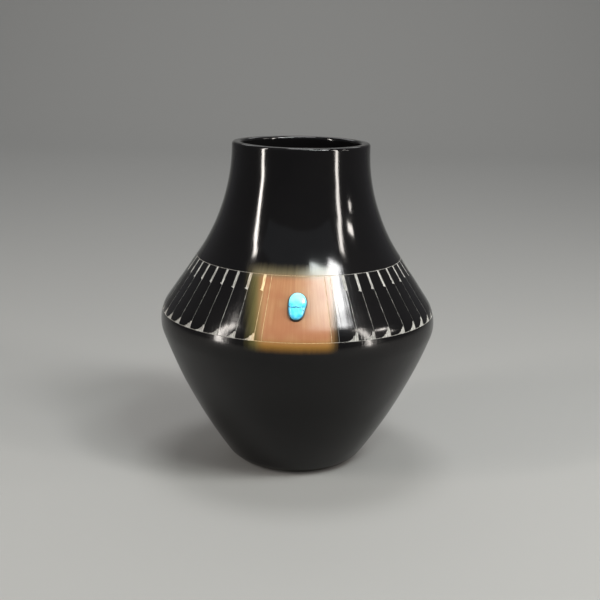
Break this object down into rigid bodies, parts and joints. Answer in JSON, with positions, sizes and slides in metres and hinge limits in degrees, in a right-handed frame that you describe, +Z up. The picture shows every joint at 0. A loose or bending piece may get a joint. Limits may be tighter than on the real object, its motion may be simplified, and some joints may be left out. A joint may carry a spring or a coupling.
{
  "type": "pueblo pottery jar",
  "caption": "Small coiled jar with a sharp shoulder, tall neck and flat foot, polished slip, a scraped feather ring and a set turquoise stone.",
  "frame": {"origin": "centre of the flat foot, on the surface the jar stands on", "axes": "+Z up along the jar's axis, -Y to the front, where the stone is, +X to the right as the jar is seen from the front"},
  "size_m": [0.1, 0.1, 0.1175],
  "materials": {
    "smoked_clay": "matt, smoothed by hand",
    "burnished_slip": "polished with a stone, black with a sienna panel",
    "adhesive": "dark, hard",
    "turquoise": "polished, with dark veins"
  },
  "bodies": {
    "root": {"base_pat": "smoked_clay", "lower_body_coil": "smoked_clay", "middle_body_coil": "smoked_clay", "belly_coil": "smoked_clay", "shoulder_coil": "smoked_clay", "neck_coil": "smoked_clay", "rim_coil": "smoked_clay", "burnished_slip": "burnished_slip", "stone_adhesive": "adhesive", "turquoise_stone": "turquoise"}
  },
  "joints": []
}
